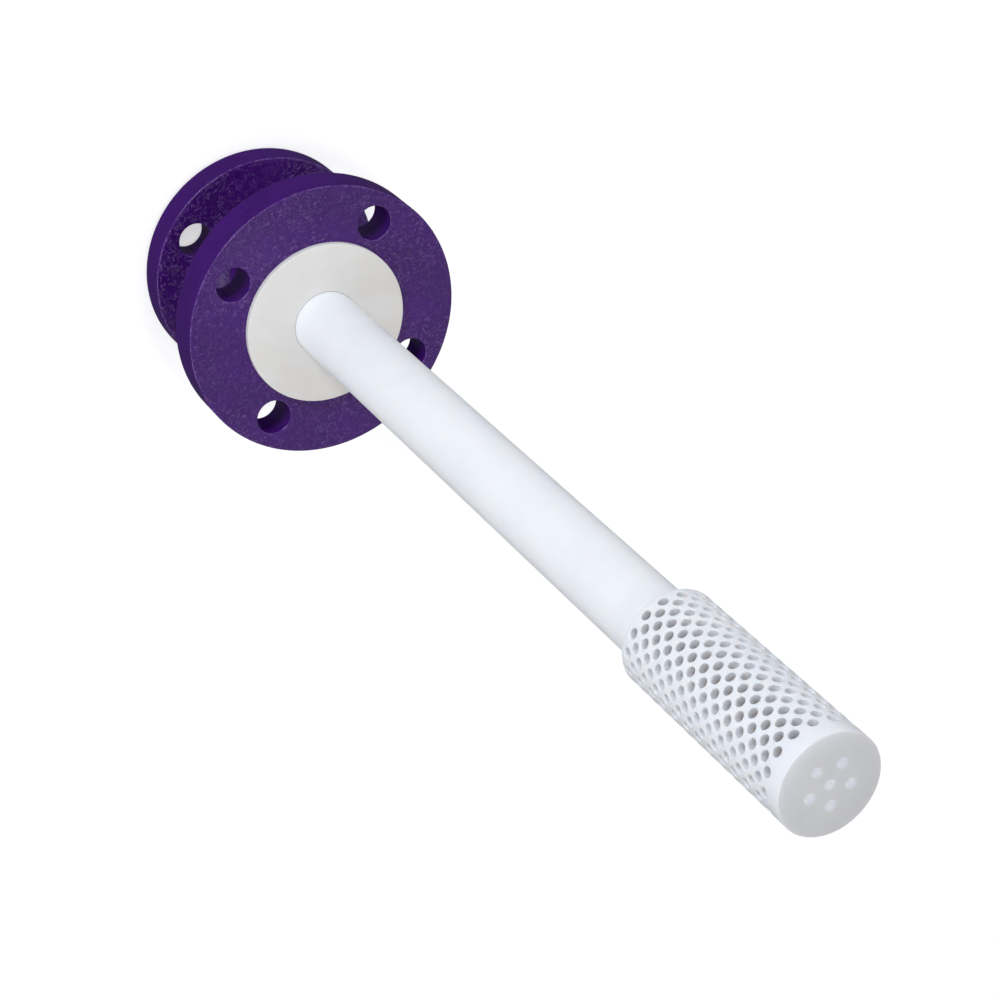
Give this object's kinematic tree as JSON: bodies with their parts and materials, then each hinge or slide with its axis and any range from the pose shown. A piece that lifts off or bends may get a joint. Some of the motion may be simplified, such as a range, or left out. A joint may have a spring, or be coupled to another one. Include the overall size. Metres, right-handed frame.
{
  "type": "dip pipe sparger",
  "caption": "Straight white plastic dip pipe in a short steel spool with two bolted flanges, ending in a thicker perforated cup that spreads gas or liquid.",
  "frame": {"origin": "centre of the inlet sealing face, the flared end of the pipe on the smaller flange", "axes": "+Z along the pipe, from the inlet flange through the vessel flange to the perforated cup; the bolt holes straddle X and Y"},
  "size_m": [0.127, 0.127, 0.4906],
  "materials": {
    "painted_steel": "glossy purple enamel over rough steel, a little wrinkled on the flat faces",
    "white_ptfe": "satin, slightly translucent",
    "pressed_ptfe": "smooth and matt"
  },
  "bodies": {
    "root": {"vessel_flange": "painted_steel", "inlet_flange": "painted_steel", "neck_tube": "painted_steel", "vessel_weld": "painted_steel", "inlet_weld": "painted_steel", "dip_pipe": "white_ptfe", "sparger_cup": "white_ptfe", "face_ring": "pressed_ptfe"}
  },
  "joints": []
}
